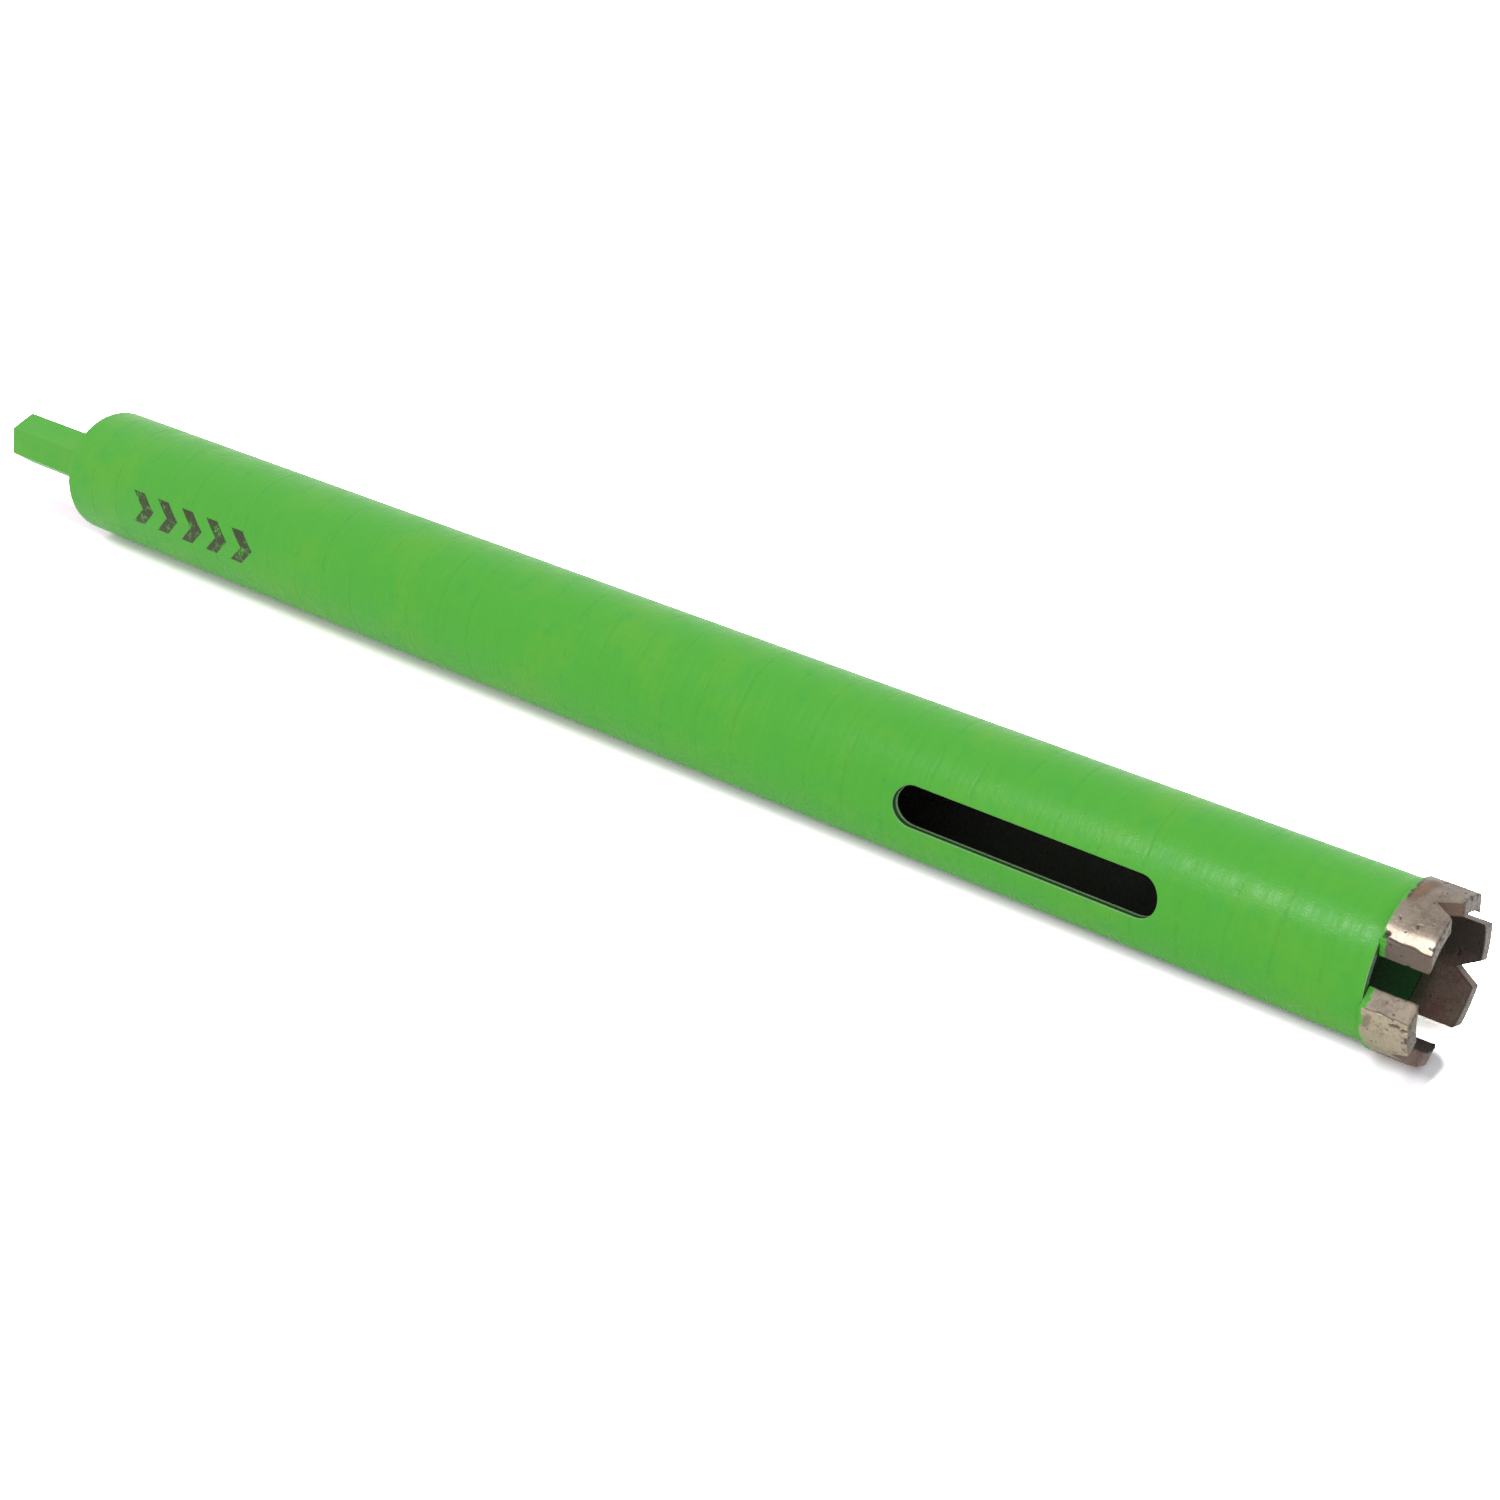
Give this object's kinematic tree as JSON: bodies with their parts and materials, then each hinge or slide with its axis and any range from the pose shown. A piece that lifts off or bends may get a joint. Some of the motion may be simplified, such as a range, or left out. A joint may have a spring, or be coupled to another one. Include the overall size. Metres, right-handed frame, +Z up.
{
  "type": "diamond core bit",
  "caption": "Long dry core bit: a painted steel tube with a side slot, notched diamond segments on its open end and a hexagonal shank on the closed end.",
  "frame": {"origin": "on the barrel's axis, at the end face of the hexagonal shank", "axes": "+X along the axis, from the shank to the cutting crown; +Z up, with the bit lying on its side; -Y the side that the slot faces"},
  "size_m": [0.3467, 0.028, 0.0272],
  "materials": {
    "green_paint": "semi-gloss",
    "sintered_segment": "rough, pitted"
  },
  "bodies": {
    "root": {"barrel": "green_paint", "end_plug": "green_paint", "hex_shank": "green_paint", "crown_segment_1": "sintered_segment", "crown_segment_2": "sintered_segment", "crown_segment_3": "sintered_segment"}
  },
  "joints": []
}
